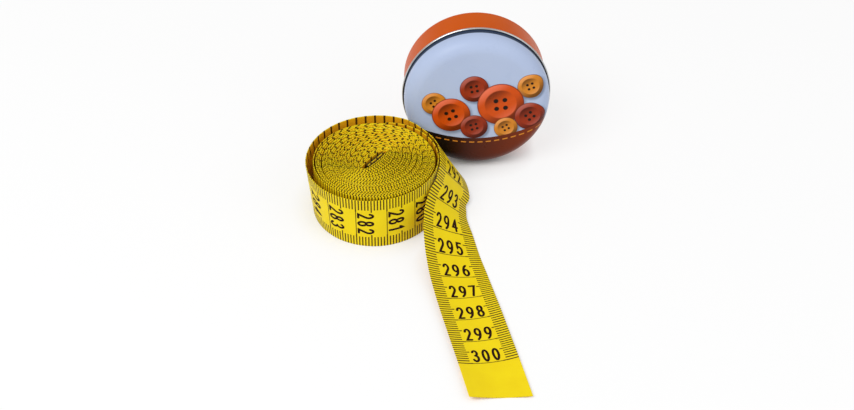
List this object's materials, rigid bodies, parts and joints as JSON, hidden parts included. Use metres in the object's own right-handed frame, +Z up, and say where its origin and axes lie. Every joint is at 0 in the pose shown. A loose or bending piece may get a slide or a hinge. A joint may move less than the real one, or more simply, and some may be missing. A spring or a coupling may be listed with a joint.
{
  "type": "cloth tape measure",
  "caption": "Flexible cloth tape measure rolled on its edge with its end laid out, a metal clip on its inner end, beside its round slip-lid tin lying on its side.",
  "frame": {"origin": "on the table, under the middle of the set's footprint", "axes": "+Z up, -Y towards the cut end of the tape, +X towards the tin's side"},
  "size_m": [0.0806, 0.136, 0.0494],
  "materials": {
    "tape_cloth": "coated woven ribbon, satin",
    "clip_metal": "plain sheet metal",
    "orange_lacquer": "glossy lacquer",
    "pale_lacquer": "glossy printed lacquer with a bare metal edge"
  },
  "bodies": {
    "free_end_and_lid": {"tape_free_end": "tape_cloth", "tin_lid": "pale_lacquer"},
    "roll": {"tape_roll": "tape_cloth", "end_clip": "clip_metal"},
    "base": {"tin_base": "orange_lacquer"}
  },
  "joints": [
    {"name": "roll_turn", "type": "hinge", "parent": "free_end_and_lid", "child": "roll", "pos_m": [-0.01808, 0.02381, 0.0095], "axis": [0, 0, 1], "continuous": true},
    {"name": "base_pull", "type": "slide", "parent": "free_end_and_lid", "child": "base", "axis": [-0.04, 0.9949, -0.0927], "range_m": [0, 0.01]}
  ]
}
